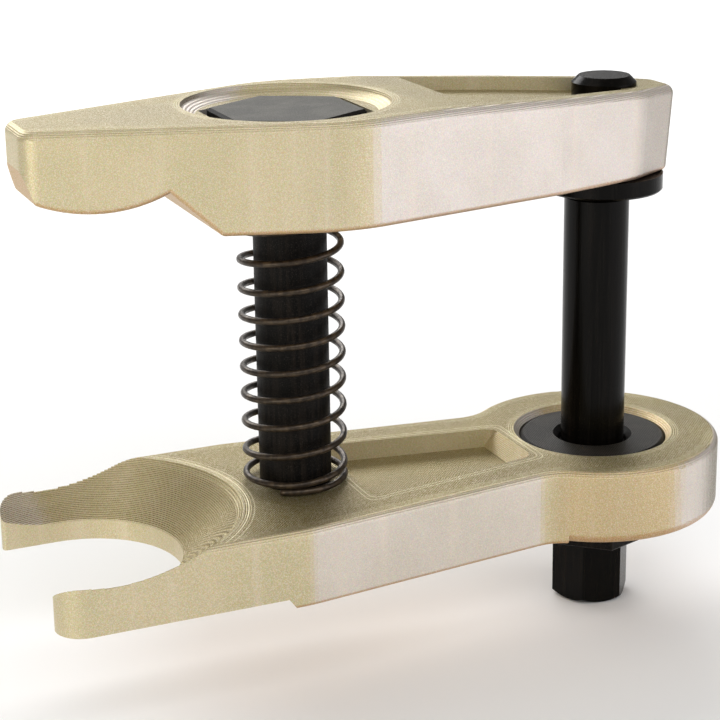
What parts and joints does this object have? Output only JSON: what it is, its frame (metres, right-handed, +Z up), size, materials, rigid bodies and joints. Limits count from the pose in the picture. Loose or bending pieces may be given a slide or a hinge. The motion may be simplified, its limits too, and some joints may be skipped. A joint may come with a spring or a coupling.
{
  "type": "ball joint separator",
  "caption": "Lever-type ball joint separator: forked lower jaw, rocking upper arm with a pressing nose, fulcrum bolt with opening spring, and a thrust spindle with a hex drive.",
  "frame": {"origin": "centre of the drive hexagon's end face, at the bottom of the spindle", "axes": "+Z up the spindle, -X towards the fork and the pressing nose, Y across the jaws"},
  "size_m": [0.2242, 0.0792, 0.1698],
  "materials": {
    "jaw_finish": "satin pale champagne gold with a fine sparkle",
    "blackened_bolt": "satin black",
    "black_spindle": "glossy black",
    "spring_wire": "dark oiled spring steel",
    "bright_ball": "polished bearing steel",
    "ring_rubber": "matt black rubber"
  },
  "bodies": {
    "jaw": {"lower_jaw": "jaw_finish", "fulcrum_bolt": "blackened_bolt", "rocker_washer": "blackened_bolt", "opening_spring": "spring_wire", "spindle_bush": "blackened_bolt", "bush_lock_nut": "blackened_bolt"},
    "ball": {"thrust_ball": "bright_ball"},
    "screw": {"spindle": "black_spindle"},
    "arm": {"upper_arm": "jaw_finish"},
    "pad": {"thrust_pad": "black_spindle", "pad_o_ring": "ring_rubber"}
  },
  "joints": [
    {"name": "spindle_feed", "type": "slide", "parent": "jaw", "child": "ball", "axis": [0, 0, 1], "range_m": [-0.012, 0.001]},
    {"name": "spindle_turn", "type": "hinge", "parent": "ball", "child": "screw", "pos_m": [0, 0, 0.05], "axis": [0, 0, 1], "range_deg": [-2890, 245]},
    {"name": "arm_rock", "type": "hinge", "parent": "jaw", "child": "arm", "pos_m": [-0.1015, 0, 0.1514], "axis": [0, 1, 0], "range_deg": [-0.6, 6.95], "deforming": ["opening_spring"]},
    {"name": "pad_swivel", "type": "hinge", "parent": "arm", "child": "pad", "pos_m": [0.0017, 0, 0.1417], "axis": [0, 0, 1], "continuous": true}
  ],
  "couplings": [
    {"joint": "spindle_turn", "follows": "spindle_feed", "rad_per_m": 4188.8},
    {"joint": "arm_rock", "follows": "spindle_feed", "rad_per_m": -9.718}
  ]
}
